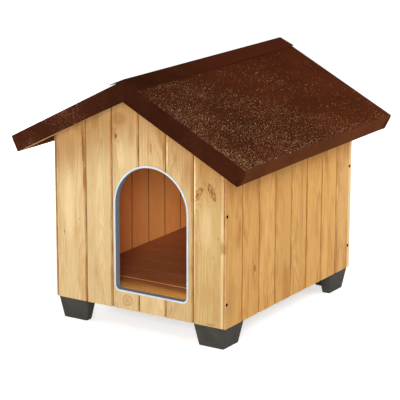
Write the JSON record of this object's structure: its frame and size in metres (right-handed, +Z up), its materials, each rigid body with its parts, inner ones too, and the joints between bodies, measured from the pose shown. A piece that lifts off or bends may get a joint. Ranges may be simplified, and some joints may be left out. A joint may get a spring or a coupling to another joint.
{
  "type": "dog house",
  "caption": "Gabled timber dog house with an arched doorway in a metal edge, a felted roof that hinges open, a lift-out floor and tapered corner feet.",
  "frame": {"origin": "on the ground, under the middle of the roof's outline", "axes": "+Z up, the doorway faces -Y, +X towards the right wall as seen by someone who faces the doorway"},
  "size_m": [0.7556, 0.832, 0.7233],
  "materials": {
    "pine": "oiled softwood boards, satin, with knots and darker grain",
    "batten": "planed softwood battens, edge boards and decks, matt",
    "floor_board": "stained softwood floor, matt",
    "roof_felt": "brown bitumen felt surfaced with mineral granules",
    "ridge_sheet": "brown coated sheet, low sheen",
    "trim_aluminium": "satin anodised",
    "foot_plastic": "dark grey moulded plastic, fine texture",
    "hinge_steel": "zinc plated"
  },
  "bodies": {
    "house": {"front_board_1": "pine", "front_board_2": "pine", "front_board_3": "pine", "front_board_4_lower": "pine", "front_board_4_upper": "pine", "front_board_5": "pine", "front_board_6": "pine", "back_board_1": "pine", "back_board_2": "pine", "back_board_3": "pine", "back_board_4": "pine", "back_board_5": "pine", "back_board_6": "pine", "left_board_1": "pine", "left_board_2": "pine", "left_board_3": "pine", "left_board_4": "pine", "left_board_5": "pine", "left_board_6": "pine", "left_board_7": "pine", "left_board_8": "pine", "right_board_1": "pine", "right_board_2": "pine", "right_board_3": "pine", "right_board_4": "pine", "right_board_5": "pine", "right_board_6": "pine", "right_board_7": "pine", "right_board_8": "pine", "front_bottom_rail": "batten", "front_top_rail": "batten", "back_bottom_rail": "batten", "back_top_rail": "batten", "left_bottom_rail": "batten", "left_top_rail": "batten", "right_bottom_rail": "batten", "right_top_rail": "batten", "foot_front_left": "foot_plastic", "foot_front_right": "foot_plastic", "foot_back_right": "foot_plastic", "foot_back_left": "foot_plastic", "door_edge_trim": "trim_aluminium", "hinge_front_wall_leaf": "hinge_steel", "hinge_back_wall_leaf": "hinge_steel"},
    "roof": {"roof_deck_left": "batten", "roof_deck_right": "batten", "bargeboard_front_left": "batten", "bargeboard_front_right": "batten", "bargeboard_back_left": "batten", "bargeboard_back_right": "batten", "eave_board_left": "batten", "eave_board_right": "batten", "roof_felt_left": "roof_felt", "roof_felt_right": "roof_felt", "ridge_cap": "ridge_sheet", "hinge_front_roof_leaf": "hinge_steel", "hinge_back_roof_leaf": "hinge_steel"},
    "floor": {"floor_panel": "floor_board", "floor_batten_left": "batten", "floor_batten_right": "batten"}
  },
  "joints": [
    {"name": "roof_hinge", "type": "hinge", "parent": "house", "child": "roof", "pos_m": [-0.2839, 0.004, 0.554], "axis": [0, -1, 0], "range_deg": [0, 40]},
    {"name": "floor_lift", "type": "slide", "parent": "house", "child": "floor", "axis": [0, 0, 1], "range_m": [0, 0.25]}
  ]
}
